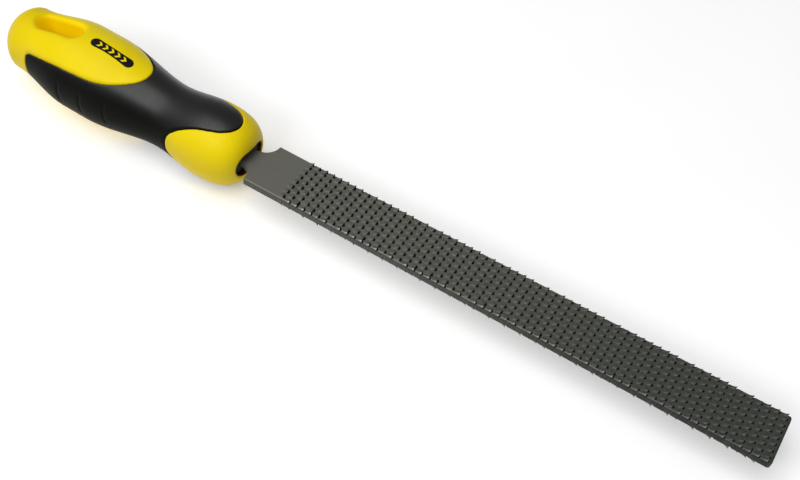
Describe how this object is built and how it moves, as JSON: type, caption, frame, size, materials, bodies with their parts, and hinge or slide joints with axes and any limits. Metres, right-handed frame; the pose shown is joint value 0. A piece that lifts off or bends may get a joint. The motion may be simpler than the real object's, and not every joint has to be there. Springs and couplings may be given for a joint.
{
  "type": "wood rasp",
  "caption": "Flat wood rasp with a straight toothed steel blade, hollow fillet shoulders and a moulded two-colour grip handle with a hanging slot.",
  "frame": {"origin": "middle of the object's box in X and Y, on the lowest line of the handle", "axes": "+X from the handle to the blade tip, +Y across the blade, +Z square to the blade's flat faces, which are level"},
  "size_m": [0.315, 0.0326, 0.0349],
  "materials": {
    "blade_steel": "hardened tool steel, satin olive-grey with oiled punched teeth and ground edges",
    "socket_plastic": "plain black moulded plastic",
    "shell_plastic": "smooth yellow moulded plastic with a soft gloss",
    "grip_rubber": "matt black thermoplastic rubber with a faint grain"
  },
  "bodies": {
    "root": {"rasp_blade": "blade_steel", "tang_socket": "socket_plastic", "handle_shell": "shell_plastic", "soft_grip": "grip_rubber"}
  },
  "joints": []
}
